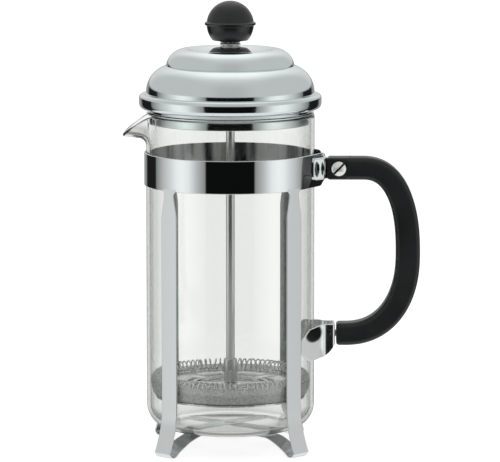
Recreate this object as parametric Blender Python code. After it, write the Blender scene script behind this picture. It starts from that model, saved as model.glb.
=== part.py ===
"""Press coffee maker: a glass beaker in a chromed clamp frame, with a lid and a plunger.

Metres, +Z up. The feet stand on z = 0 and the origin is under the middle of the whole object's box.
The beaker, the lid and the plunger share one upright axis, at x = JUG_X. The handle points along +X
and the pouring lip along -X. Outlines are pairs of radius and height, in millimetres.
"""

import math

import bmesh
import bpy
from mathutils import Matrix, Vector

MM = 0.001
GAP = 0.3                    # space left between two pieces that touch

# Driving dimensions, in millimetres
SPOUT_REACH = 61.2           # jug axis to the tip of the pouring lip
HANDLE_REACH = 108.1         # jug axis to the outside of the handle
JUG_X = (SPOUT_REACH - HANDLE_REACH) / 2.0

BEAKER_R = 47.9
BEAKER_WALL = 2.1
BEAKER_BOTTOM = 11.5
BEAKER_TOP = 191.5
BEAKER_CORNER_R = 14.0
SPOUT_START = 173.5          # height where the lip leaves the wall
SPOUT_HALF_ANGLE = math.radians(21.0)

BAND_LOW = 151.3
BAND_HIGH = 170.0
CLAMP_Z = (BAND_LOW + BAND_HIGH) / 2.0
SHEET_R = BEAKER_R + GAP     # inner face of the clamp band and of the legs
BAND_THICK = 0.8
TANGENT_ANGLE = math.radians(30.0)
TONGUE_HALF_HEIGHT = 6.15
TONGUE_Y = 1.3
TONGUE_END = 68.0
EAR_LOW = 155.3
EAR_HIGH = 167.9

LEG_THICK = 0.9
LEG_WIDTH = 12.0
LEG_NECK_WIDTH = 6.0
LEG_NECK_END = 135.5
LEG_AZIMUTHS = (math.radians(-134.6), math.radians(-42.6))
LEG_LEVELS = (10.75, 9.55)   # middle of each strip where the two cross under the beaker
FLARE_TOP = 27.0
FLARE_OUT = 5.7

HANDLE_TOP_X = 54.8
HANDLE_LOW_X = 60.4
HANDLE_TOP_Z = CLAMP_Z
HANDLE_LOW_Z = 65.5
HANDLE_MID_Z = 111.3
HANDLE_MID_X = HANDLE_REACH - 6.85
HANDLE_HALF_DEPTH = 6.5
HANDLE_HALF_THICK = 6.45
HANDLE_SWELL = 0.4           # extra half thickness halfway down
SCREW_X = 61.6
SCREW_R = 1.9
SCREW_HOLE_R = 2.25

SADDLE_X = 59.1
SADDLE_Y = 7.2
SADDLE_THICK = 1.0
SADDLE_END_ANGLE = math.radians(33.0)

ROD_R = 2.5
BORE_R = 2.85
LID_SHEET = 0.8
LID_RIM_R = 51.9
SKIRT_R = 45.2

KNOB_R = 13.4
KNOB_Z = 242.4
KNOB_RIDGE_R = 14.5

PLATE_Z = 36.1               # underside of the spiral plate
COIL_R = 42.0
COIL_TUBE_R = 3.4
COIL_Z = 40.6

HEX_FLAT = math.cos(math.radians(30.0))     # a hexagon's flat over its corner
BEAKER_STEPS = 48
BAND_STEPS = 40
ROUND_STEPS = 40
SMALL_STEPS = 24


# ---------------------------------------------------------------- helpers

def clear_scene():
    for item in list(bpy.data.objects):
        bpy.data.objects.remove(item, do_unlink=True)


def make_material(name, color, roughness, metallic, transmission=0.0):
    material = bpy.data.materials.new(name)
    material.use_nodes = True
    shader = material.node_tree.nodes["Principled BSDF"]
    shader.inputs["Base Color"].default_value = (*color, 1.0)
    shader.inputs["Roughness"].default_value = roughness
    shader.inputs["Metallic"].default_value = metallic
    shader.inputs["Transmission Weight"].default_value = transmission
    material.diffuse_color = (*color, 1.0)
    return material


def make_empty(name, parent=None):
    """A carrier for the pieces that move together, on the jug's axis."""
    empty = bpy.data.objects.new(name, None)
    bpy.context.collection.objects.link(empty)
    empty.location = (JUG_X * MM, 0.0, 0.0) if parent is None else (0.0, 0.0, 0.0)
    empty.parent = parent
    return empty


def finish_mesh(name, bm, material, parent):
    """Turn a bmesh in millimetres into a shaded object under its parent."""
    bmesh.ops.recalc_face_normals(bm, faces=bm.faces)
    bmesh.ops.scale(bm, vec=Vector((MM, MM, MM)), verts=bm.verts)
    mesh = bpy.data.meshes.new(name)
    bm.to_mesh(mesh)
    bm.free()
    mesh.shade_smooth()
    mesh.set_sharp_from_angle(angle=math.radians(35.0))
    mesh.materials.append(material)
    piece = bpy.data.objects.new(name, mesh)
    bpy.context.collection.objects.link(piece)
    piece.parent = parent
    return piece


def arc(center, radius, start, end, steps):
    """Points on a circle from one angle to another, in degrees."""
    points = []
    for i in range(steps + 1):
        angle = math.radians(start + (end - start) * i / steps)
        points.append((center[0] + radius * math.cos(angle), center[1] + radius * math.sin(angle)))
    return points


def turned_bmesh(outline, steps, place=None):
    """Turn a closed outline of (radius, height) round Z. A radius of 0 makes a pole."""
    bm = bmesh.new()
    rings = []
    for radius, height in outline:
        if radius == 0.0:
            rings.append([bm.verts.new((0.0, 0.0, height))])
            continue
        ring = []
        for i in range(steps):
            angle = 2.0 * math.pi * i / steps
            x, y, z = radius * math.cos(angle), radius * math.sin(angle), height
            if place is not None:
                x, y, z = place(radius, height, angle)
            ring.append(bm.verts.new((x, y, z)))
        rings.append(ring)
    for first, second in zip(rings, rings[1:] + rings[:1]):
        join_rings(bm, first, second)
    return bm


def join_rings(bm, first, second):
    """Bridge two rings, or a ring and a pole."""
    if len(first) == 1 and len(second) == 1:
        return
    steps = max(len(first), len(second))
    for i in range(steps):
        j = (i + 1) % steps
        if len(first) == 1:
            bm.faces.new((first[0], second[i], second[j]))
        elif len(second) == 1:
            bm.faces.new((first[i], first[j], second[0]))
        else:
            bm.faces.new((first[i], first[j], second[j], second[i]))


def turned(name, outline, material, parent, steps=SMALL_STEPS):
    return finish_mesh(name, turned_bmesh(outline, steps), material, parent)


def ring_outline(inner, outer, low, high):
    return [(inner, low), (outer, low), (outer, high), (inner, high)]


def sweep(sections):
    """A closed solid through a row of sections with equal numbers of points."""
    bm = bmesh.new()
    rings = [[bm.verts.new(point) for point in section] for section in sections]
    for first, second in zip(rings, rings[1:]):
        join_rings(bm, first, second)
    bm.faces.new(rings[0])
    bm.faces.new(rings[-1])
    return bm


def path_normals(path):
    """The sideways unit vector at each point of a flat path."""
    normals = []
    for i, point in enumerate(path):
        before = path[max(i - 1, 0)]
        after = path[min(i + 1, len(path) - 1)]
        incoming = Vector((point[0] - before[0], point[1] - before[1]))
        outgoing = Vector((after[0] - point[0], after[1] - point[1]))
        directions = [d.normalized() for d in (incoming, outgoing) if d.length > 0.0]
        average = sum(directions, Vector((0.0, 0.0))).normalized()
        stretch = 1.0 / max(average.dot(directions[0]), 0.5)
        normals.append(Vector((-average.y, average.x)) * stretch)
    return normals


def standing_sheet(path, lows, highs, thick):
    """A sheet that stands on edge: it follows a path in plan, between two heights."""
    sections = []
    for point, normal, low, high in zip(path, path_normals(path), lows, highs):
        inner = Vector(point) - normal * thick / 2.0
        outer = Vector(point) + normal * thick / 2.0
        sections.append([(inner.x, inner.y, low), (outer.x, outer.y, low),
                         (outer.x, outer.y, high), (inner.x, inner.y, high)])
    return sweep(sections)


def lying_sheet(path, widths, thick):
    """A sheet that follows a path of (x, z), with its width along y."""
    sections = []
    for point, normal, width in zip(path, path_normals(path), widths):
        inner = Vector(point) - normal * thick / 2.0
        outer = Vector(point) + normal * thick / 2.0
        half = width / 2.0
        sections.append([(inner.x, -half, inner.y), (inner.x, half, inner.y),
                         (outer.x, half, outer.y), (outer.x, -half, outer.y)])
    return sweep(sections)


def cylinder_bmesh(radius, length, matrix, steps=SMALL_STEPS):
    """A cylinder centred on its matrix, along the matrix's Z."""
    bm = bmesh.new()
    bmesh.ops.create_cone(bm, cap_ends=True, segments=steps, radius1=radius, radius2=radius,
                          depth=length, matrix=matrix)
    return bm


def box_bmesh(low, high):
    bm = bmesh.new()
    size = Vector(high) - Vector(low)
    center = (Vector(high) + Vector(low)) / 2.0
    bmesh.ops.create_cube(bm, size=1.0, matrix=Matrix.Translation(center) @ Matrix.Diagonal((*size, 1.0)))
    return bm


def along_y(x, y, z):
    """A frame whose Z points along -Y."""
    return Matrix.Translation((x, y, z)) @ Matrix.Rotation(math.radians(90.0), 4, "X")


def along_x(x, y, z):
    """A frame whose Z points along +X."""
    return Matrix.Translation((x, y, z)) @ Matrix.Rotation(math.radians(90.0), 4, "Y")


def cut(piece, name, bm):
    """Take a hidden cutter out of a piece."""
    cutter = finish_mesh(name, bm, piece.data.materials[0], piece.parent)
    cutter.hide_render = True
    cutter.display_type = "WIRE"
    modifier = piece.modifiers.new(name, "BOOLEAN")
    modifier.operation = "DIFFERENCE"
    modifier.solver = "EXACT"
    modifier.object = cutter


def arc_blocks(inner, outer, low, high, count, span, steps=4):
    """A ring of separate curved blocks, each span radians long."""
    bm = bmesh.new()
    for k in range(count):
        middle = 2.0 * math.pi * k / count
        rings = []
        for i in range(steps + 1):
            angle = middle - span / 2.0 + span * i / steps
            corners = [(inner, low), (outer, low), (outer, high), (inner, high)]
            rings.append([bm.verts.new((r * math.cos(angle), r * math.sin(angle), z)) for r, z in corners])
        for first, second in zip(rings, rings[1:]):
            join_rings(bm, first, second)
        bm.faces.new(rings[0])
        bm.faces.new(rings[-1])
    return bm


# ---------------------------------------------------------------- beaker

def spout_fold(height):
    """Where a point of the outer wall goes at the middle of the lip: (outwards, height)."""
    run = (height - SPOUT_START) / (BEAKER_TOP - SPOUT_START)
    tip = SPOUT_REACH - BEAKER_R + 0.6
    knots = [(0.0, 0.0, SPOUT_START), (0.18, 0.8, 176.6), (0.35, 2.6, 178.8), (0.55, 6.2, 179.5),
             (0.8, 10.4, 180.0), (1.0, tip, 180.9)]
    for (run_a, out_a, z_a), (run_b, out_b, z_b) in zip(knots, knots[1:]):
        if run <= run_b:
            part = (run - run_a) / (run_b - run_a)
            return out_a + (out_b - out_a) * part, z_a + (z_b - z_a) * part
    return knots[-1][1], knots[-1][2]


def place_beaker_point(radius, height, angle):
    """A turned beaker point, pulled outwards and down near the pouring lip."""
    offset = abs(math.remainder(angle - math.pi, 2.0 * math.pi)) / SPOUT_HALF_ANGLE
    if height > SPOUT_START and offset < 1.0:
        amount = (0.5 + 0.5 * math.cos(math.pi * offset)) ** 0.8
        outwards, lowered = spout_fold(height)
        lift = (BEAKER_R - radius) * 0.5 * min(outwards / 6.0, 1.0)
        radius += amount * outwards
        height += amount * (lowered + lift - height)
    return radius * math.cos(angle), radius * math.sin(angle), height


def build_beaker(parent, material):
    inner_r = BEAKER_R - BEAKER_WALL
    foot_r = BEAKER_R - BEAKER_CORNER_R
    corner_z = BEAKER_BOTTOM + BEAKER_CORNER_R
    wall_heights = [SPOUT_START, 176.6, 179.5, 183.0, 187.5]
    outline = [(0.0, BEAKER_BOTTOM + 0.9), (16.0, BEAKER_BOTTOM + 0.7)]
    outline += arc((foot_r, corner_z), BEAKER_CORNER_R, -90.0, 0.0, 5)
    outline += [(BEAKER_R, height) for height in wall_heights]
    outline += [(BEAKER_R, BEAKER_TOP - 0.6), (BEAKER_R - 0.6, BEAKER_TOP),
                (inner_r + 0.6, BEAKER_TOP), (inner_r, BEAKER_TOP - 0.6)]
    outline += [(inner_r, height) for height in reversed(wall_heights)]
    outline += arc((foot_r, corner_z), BEAKER_CORNER_R - BEAKER_WALL, 0.0, -90.0, 4)
    outline += [(0.0, BEAKER_BOTTOM + 0.9 + BEAKER_WALL)]
    bm = turned_bmesh(outline, BEAKER_STEPS, place_beaker_point)
    finish_mesh("glass_beaker", bm, material, parent)


# ---------------------------------------------------------------- clamp frame

def tangent_point(angle, reach):
    """A point on the flat stretch that leaves the sheet's circle at an angle from +X."""
    radius = SHEET_R + BAND_THICK / 2.0
    x = radius * math.cos(angle) + reach * math.sin(abs(angle))
    y = radius * math.sin(angle) + reach * math.cos(angle) * math.copysign(1.0, -angle)
    return x, y


def build_band(parent, material):
    """The clamp band: round the beaker, then flat to both sides of the handle's slot."""
    radius = SHEET_R + BAND_THICK / 2.0
    half = [(TONGUE_END, -TONGUE_Y), (54.6, -TONGUE_Y), (53.6, -2.1), (53.2, -4.0)]
    half += [tangent_point(-TANGENT_ANGLE, reach) for reach in (20.5, 17.0)]
    heights = [TONGUE_HALF_HEIGHT] * 4 + [TONGUE_HALF_HEIGHT] + [(BAND_HIGH - BAND_LOW) / 2.0]
    round_part = []
    for i in range(BAND_STEPS + 1):
        angle = -TANGENT_ANGLE - (2.0 * math.pi - 2.0 * TANGENT_ANGLE) * i / BAND_STEPS
        round_part.append((radius * math.cos(angle), radius * math.sin(angle)))
    path = half + round_part + [(x, -y) for x, y in reversed(half)]
    tall = heights + [heights[-1]] * len(round_part) + heights[::-1]
    lows = [CLAMP_Z - height for height in tall]
    highs = [CLAMP_Z + height for height in tall]
    band = finish_mesh("frame_band", standing_sheet(path, lows, highs, BAND_THICK), material, parent)
    cut(band, "cut_band_screw", cylinder_bmesh(SCREW_HOLE_R, 10.0, along_y(SCREW_X, 0.0, CLAMP_Z)))


def build_ear(name, side, parent, material):
    """The folded ear beside the clamp: a plate turned towards the front, then across to the tongue."""
    path = [(47.9, side * 17.1), (53.6, side * 12.3), (54.0, side * 11.0), (54.0, side * 4.9)]
    lows = [EAR_LOW + 1.6] + [EAR_LOW] * 3
    highs = [EAR_HIGH - 1.6] + [EAR_HIGH] * 3
    finish_mesh(name, standing_sheet(path, lows, highs, BAND_THICK), material, parent)


def leg_half_path(level):
    """One leg from its top to the jug's axis: (distance from the axis, height) of its middle."""
    middle = SHEET_R + LEG_THICK / 2.0
    foot_z = LEG_THICK / 2.0
    path = [(middle, BAND_LOW - GAP), (middle, LEG_NECK_END + 8.0), (middle, LEG_NECK_END)]
    flare_low = 2.3
    for i in range(9):
        drop = i / 8.0
        path.append((middle + FLARE_OUT * drop ** 1.8, FLARE_TOP - (FLARE_TOP - flare_low) * drop))
    path += arc((52.95, foot_z + 1.4), 1.4, -15.0, -90.0, 3)
    path += [(51.8, foot_z), (46.4, 3.5), (39.0, 7.3), (33.5, 9.2), (28.0, level), (12.0, level)]
    return path


def build_leg_strip(name, azimuth, level, parent, material):
    """Two opposite legs and the tie between them, bent from one flat strip."""
    half = leg_half_path(level)
    path = half + [(-x, z) for x, z in reversed(half)]
    widths = [LEG_NECK_WIDTH, LEG_NECK_WIDTH + 1.4] + [LEG_WIDTH] * (len(half) - 2)
    bm = lying_sheet(path, widths + widths[::-1], LEG_THICK)
    bmesh.ops.rotate(bm, matrix=Matrix.Rotation(azimuth, 3, "Z"), verts=bm.verts)
    strip = finish_mesh(name, bm, material, parent)
    hole = cylinder_bmesh(2.3, 4.0, Matrix.Translation((0.0, 0.0, level)), 16)
    cut(strip, "cut_" + name, hole)


def build_rivet(parent, material):
    """The rivet that ties the two strips together under the beaker."""
    low_face = LEG_LEVELS[1] - LEG_THICK / 2.0 - GAP
    high_face = LEG_LEVELS[0] + LEG_THICK / 2.0 + GAP
    outline = [(0.0, low_face - 1.3), (3.0, low_face - 1.1), (4.5, low_face), (1.95, low_face),
               (1.95, high_face), (3.6, high_face), (3.4, high_face + 0.4), (0.0, high_face + 0.4)]
    turned("base_rivet", outline, material, parent, 16)


# ---------------------------------------------------------------- handle

def handle_path():
    """The middle line of the handle, from the clamp end round to the saddle end."""
    top_center = 75.0
    low_center = 65.3
    steps = 12
    path = [(HANDLE_TOP_X, HANDLE_TOP_Z), (67.0, HANDLE_TOP_Z)]
    for i in range(steps + 1):
        turn = math.radians(90.0 - 90.0 * i / steps)
        x = top_center + (HANDLE_MID_X - top_center) * math.cos(turn) ** (2.0 / 2.4)
        z = HANDLE_MID_Z + (HANDLE_TOP_Z - HANDLE_MID_Z) * math.sin(turn) ** (2.0 / 2.4)
        path.append((x, z))
    for i in range(1, steps + 1):
        turn = math.radians(90.0 * i / steps)
        x = low_center + (HANDLE_MID_X - low_center) * math.cos(turn) ** (2.0 / 2.25)
        z = HANDLE_MID_Z - (HANDLE_MID_Z - HANDLE_LOW_Z) * math.sin(turn) ** (2.0 / 2.25)
        path.append((x, z))
    path.append((HANDLE_LOW_X, HANDLE_LOW_Z))
    return path


def handle_section(point, normal, half_thick):
    """A rounded rectangle across the handle: its thickness along the normal, its depth along Y."""
    corner = 2.8
    section = []
    for quarter in range(4):
        across = half_thick - corner if quarter in (0, 3) else corner - half_thick
        deep = HANDLE_HALF_DEPTH - corner if quarter in (0, 1) else corner - HANDLE_HALF_DEPTH
        for a, b in arc((across, deep), corner, 90.0 * quarter, 90.0 * quarter + 90.0, 2):
            section.append((point[0] + normal.x * a, b, point[1] + normal.y * a))
    return section


def build_handle(parent, material):
    path = handle_path()
    sections = []
    for i, (point, normal) in enumerate(zip(path, path_normals(path))):
        swell = HANDLE_SWELL * math.sin(math.pi * i / (len(path) - 1)) ** 2
        sections.append(handle_section(point, normal.normalized(), HANDLE_HALF_THICK + swell))
    handle = finish_mesh("handle", sweep(sections), material, parent)
    slot_half = TONGUE_Y + BAND_THICK / 2.0 + GAP
    cut(handle, "cut_handle_slot", box_bmesh(
        (HANDLE_TOP_X - 5.0, -slot_half, CLAMP_Z - TONGUE_HALF_HEIGHT - 5.0),
        (TONGUE_END + 0.6, slot_half, CLAMP_Z + TONGUE_HALF_HEIGHT + 5.0)))
    cut(handle, "cut_handle_recess", box_bmesh(
        (HANDLE_TOP_X - 5.0, -HANDLE_HALF_DEPTH - 1.0, CLAMP_Z - 5.5),
        (66.2, -HANDLE_HALF_DEPTH + 1.2, CLAMP_Z + 5.5)))
    cut(handle, "cut_handle_nut", cylinder_bmesh(
        4.5, 6.0, along_y(SCREW_X, HANDLE_HALF_DEPTH, CLAMP_Z), 6))
    cut(handle, "cut_handle_screw", cylinder_bmesh(
        SCREW_HOLE_R, 30.0, along_y(SCREW_X, 0.0, CLAMP_Z)))
    cut(handle, "cut_handle_foot", cylinder_bmesh(
        SCREW_HOLE_R, 28.0, along_x(HANDLE_LOW_X, 0.0, HANDLE_LOW_Z)))


def build_screw(name, head_r, head_high, shank_r, shank_length, matrix, parent, material, slot_turn):
    """A slotted pan-head screw: its head stands on z = 0 of the matrix, its shank goes down."""
    outline = [(0.0, -shank_length), (shank_r, -shank_length), (shank_r, 0.0), (head_r, 0.0),
               (head_r, head_high * 0.45), (head_r * 0.86, head_high * 0.85),
               (head_r * 0.55, head_high), (0.0, head_high)]
    bm = turned_bmesh(outline, SMALL_STEPS)
    bmesh.ops.transform(bm, matrix=matrix, verts=bm.verts)
    screw = finish_mesh(name, bm, material, parent)
    slot = box_bmesh((-head_r - 1.0, -0.5, head_high - 0.9), (head_r + 1.0, 0.5, head_high + 1.0))
    turn = Matrix.Rotation(slot_turn, 4, "Z")
    bmesh.ops.transform(slot, matrix=matrix @ turn, verts=slot.verts)
    cut(screw, "cut_" + name, slot)


def build_clamp_screw(parent, material):
    head_face = -HANDLE_HALF_DEPTH + 1.2 - GAP
    build_screw("handle_clamp_screw", 4.1, 2.0, SCREW_R, 11.5, along_y(SCREW_X, head_face, CLAMP_Z),
                parent, material, math.radians(45.0))


def build_clamp_nut(parent, material):
    """The hexagon nut that lies in the far side of the handle."""
    bm = cylinder_bmesh(4.0, 2.6, along_y(SCREW_X, HANDLE_HALF_DEPTH - 1.4, CLAMP_Z), 6)
    nut = finish_mesh("handle_clamp_nut", bm, material, parent)
    hole = cylinder_bmesh(SCREW_HOLE_R, 12.0, along_y(SCREW_X, HANDLE_HALF_DEPTH - 1.4, CLAMP_Z))
    cut(nut, "cut_clamp_nut", hole)


def build_saddle(parent, material):
    """The folded bracket at the handle's foot: a web, two cheeks and two wings on the glass."""
    half = [(SADDLE_X, 0.0, 59.6, 71.7), (SADDLE_X, -SADDLE_Y + 1.2, 59.6, 71.7),
            (SADDLE_X - 0.4, -SADDLE_Y + 0.4, 59.2, 71.7), (SADDLE_X - 1.3, -SADDLE_Y, 56.7, 71.7),
            (55.2, -SADDLE_Y, 54.2, 71.7), (53.0, -SADDLE_Y - 0.3, 53.0, 71.7)]
    wing = [(18.5, 52.9, 71.7), (11.0, 52.3, 70.8), (7.5, 52.3, 70.6), (2.5, 54.6, 67.4),
            (-1.5, 58.0, 64.9)]
    for reach, low, high in wing:
        x, y = tangent_point(-SADDLE_END_ANGLE, reach)
        half.append((x + 0.15, y - 0.1, low, high))
    whole = [(x, -y, low, high) for x, y, low, high in reversed(half[1:])] + half
    path = [(x, y) for x, y, low, high in whole]
    bm = standing_sheet(path, [row[2] for row in whole], [row[3] for row in whole], SADDLE_THICK)
    saddle = finish_mesh("handle_saddle", bm, material, parent)
    cut(saddle, "cut_saddle", cylinder_bmesh(SCREW_HOLE_R, 6.0, along_x(SADDLE_X, 0.0, HANDLE_LOW_Z)))


def build_saddle_screw(parent, material):
    head_face = SADDLE_X - SADDLE_THICK / 2.0 - GAP
    matrix = Matrix.Translation((head_face, 0.0, HANDLE_LOW_Z)) @ Matrix.Rotation(
        math.radians(-90.0), 4, "Y")
    build_screw("saddle_screw", 3.9, 2.4, SCREW_R, 14.0, matrix, parent, material, 0.0)


# ---------------------------------------------------------------- lid

def build_dome(parent, material):
    """The two-step chromed dome, with its edge curled under."""
    outer = [(5.2, 225.4), (12.4, 225.6), (20.0, 227.6)]
    outer += arc((25.6, 217.6), 11.0, 97.0, 8.0, 4)
    outer += arc((35.9, 206.1), 12.1, 77.0, -6.0, 4)
    outer += [(49.2, 203.0), (51.2, 202.3), (LID_RIM_R, 201.0), (LID_RIM_R, 197.6), (50.9, 195.6),
              (49.4, 194.8)]
    sheet = LID_SHEET
    inner = [(5.2, 225.4 - sheet), (12.4, 225.6 - sheet), (20.0, 227.5 - sheet)]
    inner += arc((25.6, 217.6), 11.0 - sheet, 95.0, 8.0, 3)
    inner += arc((35.9, 206.1), 12.1 - sheet, 77.0, -6.0, 3)
    inner += [(48.9, 202.2), (50.5, 201.6), (LID_RIM_R - sheet, 200.6), (LID_RIM_R - sheet, 198.0),
              (50.3, 196.2), (49.4, 195.7)]
    turned("lid_dome", outer + inner[::-1], material, parent, ROUND_STEPS)


def build_skirt(parent, material):
    """The sleeve that centres the lid in the beaker, with the flange that rests on its rim."""
    flange_low = BEAKER_TOP + GAP
    outline = [(SKIRT_R - 0.8, 186.5), (SKIRT_R, 186.5), (SKIRT_R, flange_low), (47.6, flange_low),
               (47.6, flange_low + 0.8), (SKIRT_R, flange_low + 0.8), (SKIRT_R, 198.5),
               (SKIRT_R - 0.8, 198.5)]
    turned("lid_skirt", outline, material, parent, ROUND_STEPS)


def build_lid_center(parent, materials):
    """The grommet, the bush that guides the rod, and the nut under the dome."""
    turned("lid_grommet", [(4.9, 226.0), (12.4, 226.0), (9.5, 228.9), (4.9, 228.9)],
           materials["black"], parent)
    bush = [(BORE_R, 219.7), (4.5, 219.7), (4.5, 229.2), (5.9, 229.2), (5.9, 230.3), (4.8, 230.5),
            (4.8, 230.8), (5.9, 231.0), (5.9, 232.1), (BORE_R, 232.1)]
    turned("rod_bushing", bush, materials["steel"], parent)
    turned("bushing_nut", ring_outline(4.8 / HEX_FLAT, 8.0, 221.2, 224.3), materials["steel"], parent, 6)


# ---------------------------------------------------------------- plunger

def build_knob(parent, material):
    """A ball with a ridge round its middle, hollow for the insert and the rod's end."""
    ridge = 1.0
    low = math.degrees(math.asin(-(KNOB_Z - 233.4) / KNOB_R))
    outline = [(4.2, 232.4), (5.9, 232.4), (5.9, 233.4)]
    outline += arc((0.0, KNOB_Z), KNOB_R, low, -5.0, 5)
    outline += [(KNOB_RIDGE_R, KNOB_Z - ridge), (KNOB_RIDGE_R, KNOB_Z + ridge)]
    outline += arc((0.0, KNOB_Z), KNOB_R, 5.0, 82.0, 6)
    outline += [(0.0, KNOB_Z + KNOB_R), (0.0, 244.5), (4.2, 244.5)]
    turned("knob", outline, material, parent)


def build_insert(parent, material):
    turned("knob_insert", ring_outline(BORE_R, 3.9, 232.7, 244.0), material, parent, 16)


def build_rod(parent, material):
    turned("plunger_rod", [(0.0, 29.7), (2.0, 29.7), (ROD_R, 30.3), (ROD_R, 243.0), (0.0, 243.0)],
           material, parent, 16)


def build_collar(parent, material):
    outline = [(BORE_R, 37.2), (3.7, 37.2), (3.7, 50.2), (3.3, 50.8), (BORE_R, 50.8)]
    turned("rod_collar", outline, material, parent, 16)


def sheet_outline(line, thick):
    """The closed outline of a dished sheet whose underside follows a line."""
    return line + [(r, z + thick) for r, z in reversed(line)]


def build_filter(parent, materials):
    """Spiral plate, edge coil, woven screen, lower plate and the nut, stacked on the rod."""
    plate_line = [(BORE_R, PLATE_Z), (42.3, PLATE_Z)]
    plate = turned("spiral_plate", sheet_outline(plate_line, 0.8), materials["steel"], parent,
                   ROUND_STEPS)
    cut(plate, "cut_plate_inner", arc_blocks(13.0, 15.5, 30.0, 45.0, 4, math.radians(40.0)))
    cut(plate, "cut_plate_outer", arc_blocks(21.0, 23.5, 30.0, 45.0, 8, math.radians(28.0)))

    coil = turned_bmesh(arc((COIL_R, COIL_Z), COIL_TUBE_R, 0.0, 330.0, 11), ROUND_STEPS)
    finish_mesh("edge_coil", coil, materials["steel"], parent)

    screen_line = [(BORE_R, 35.3), (28.5, 35.3), (38.0, 31.3), (41.6, 31.1), (43.6, 32.0),
                   (44.8, 34.6), (45.3, 38.2)]
    screen = screen_line + [(44.85, 38.2), (44.3, 34.9), (43.2, 32.5), (41.5, 31.6), (38.1, 31.8),
                            (28.6, 35.8), (BORE_R, 35.8)]
    turned("mesh_screen", screen, materials["mesh"], parent, ROUND_STEPS)

    cross_line = [(BORE_R, 34.2), (27.0, 34.2), (36.6, 29.9), (43.0, 29.9)]
    cross = cross_line + [(43.0, 30.8), (36.9, 30.8), (27.2, 35.0), (BORE_R, 35.0)]
    plate = turned("cross_plate", cross, materials["steel"], parent, ROUND_STEPS)
    cut(plate, "cut_cross_plate", arc_blocks(11.0, 30.0, 25.0, 45.0, 4, math.radians(62.0), 6))

    nut = ring_outline(BORE_R / HEX_FLAT, 5.5, 29.9, 33.9)
    turned("filter_nut", nut, materials["steel"], parent, 6)


# ---------------------------------------------------------------- the whole object

def make_materials():
    return {
        "glass": make_material("glass", (0.90, 0.92, 0.91), 0.02, 0.0, 1.0),
        "chrome": make_material("chrome", (0.82, 0.83, 0.84), 0.06, 1.0),
        "steel": make_material("steel", (0.70, 0.70, 0.70), 0.22, 1.0),
        "mesh": make_material("mesh", (0.42, 0.42, 0.43), 0.38, 1.0),
        "black": make_material("soft_touch_black", (0.012, 0.012, 0.013), 0.42, 0.0),
        "brass": make_material("brass", (0.72, 0.55, 0.28), 0.30, 1.0),
    }


def main():
    clear_scene()
    materials = make_materials()
    carafe = make_empty("carafe")
    lid = make_empty("lid", carafe)
    plunger = make_empty("plunger", lid)

    build_beaker(carafe, materials["glass"])
    build_band(carafe, materials["chrome"])
    build_ear("clamp_ear_front", -1.0, carafe, materials["chrome"])
    build_ear("clamp_ear_back", 1.0, carafe, materials["chrome"])
    for name, azimuth, level in zip(("leg_strip_a", "leg_strip_b"), LEG_AZIMUTHS, LEG_LEVELS):
        build_leg_strip(name, azimuth, level, carafe, materials["chrome"])
    build_rivet(carafe, materials["steel"])
    build_handle(carafe, materials["black"])
    build_clamp_screw(carafe, materials["steel"])
    build_clamp_nut(carafe, materials["steel"])
    build_saddle(carafe, materials["chrome"])
    build_saddle_screw(carafe, materials["steel"])

    build_dome(lid, materials["chrome"])
    build_skirt(lid, materials["chrome"])
    build_lid_center(lid, materials)

    build_knob(plunger, materials["black"])
    build_insert(plunger, materials["brass"])
    build_rod(plunger, materials["steel"])
    build_collar(plunger, materials["steel"])
    build_filter(plunger, materials)


main()
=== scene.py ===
"""The looks of a press coffee maker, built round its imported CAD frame.

Lengths are in millimetres from the jug's axis unless a line says otherwise, and MM turns them into metres.
The handle points along +X and the pouring lip along -X.
"""

import math

import bmesh
import bpy
from mathutils import Matrix, Vector


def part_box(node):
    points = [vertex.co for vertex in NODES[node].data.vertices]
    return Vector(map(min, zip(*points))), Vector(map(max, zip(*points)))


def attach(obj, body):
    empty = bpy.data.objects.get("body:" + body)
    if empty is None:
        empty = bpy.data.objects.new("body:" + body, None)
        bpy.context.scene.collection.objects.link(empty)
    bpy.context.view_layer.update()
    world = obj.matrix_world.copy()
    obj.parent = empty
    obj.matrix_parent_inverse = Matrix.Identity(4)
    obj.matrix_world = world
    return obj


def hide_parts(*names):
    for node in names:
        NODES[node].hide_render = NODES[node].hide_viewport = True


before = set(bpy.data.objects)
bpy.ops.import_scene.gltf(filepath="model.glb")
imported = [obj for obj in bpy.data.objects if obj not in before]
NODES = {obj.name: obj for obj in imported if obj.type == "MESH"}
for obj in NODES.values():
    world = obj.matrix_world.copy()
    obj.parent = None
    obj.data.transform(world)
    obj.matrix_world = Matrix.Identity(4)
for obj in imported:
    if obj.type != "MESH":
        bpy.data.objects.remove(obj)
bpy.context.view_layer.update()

MM = 0.001


def node_span(node, axis):
    """The lowest and highest value of a CAD node along an axis, in millimetres."""
    low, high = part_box(node)
    return low[axis] / MM, high[axis] / MM


ROD_LOW_X, ROD_HIGH_X = node_span("plunger_rod", 0)
JUG_X = (ROD_LOW_X + ROD_HIGH_X) / 2.0
AXIS = Vector((JUG_X * MM, 0.0, 0.0))

BEAKER_R = node_span("glass_beaker", 1)[1]
BEAKER_LOW, BEAKER_TOP = node_span("glass_beaker", 2)
BEAKER_WALL = 2.1
BEAKER_CORNER_R = 14.0
SPOUT_START = 173.6
SPOUT_HALF_ANGLE = math.radians(20.5)
SPOUT_FOLD = math.radians(84.0)
SPOUT_BEND = 6.0    # length of the wall that takes the fold

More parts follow.
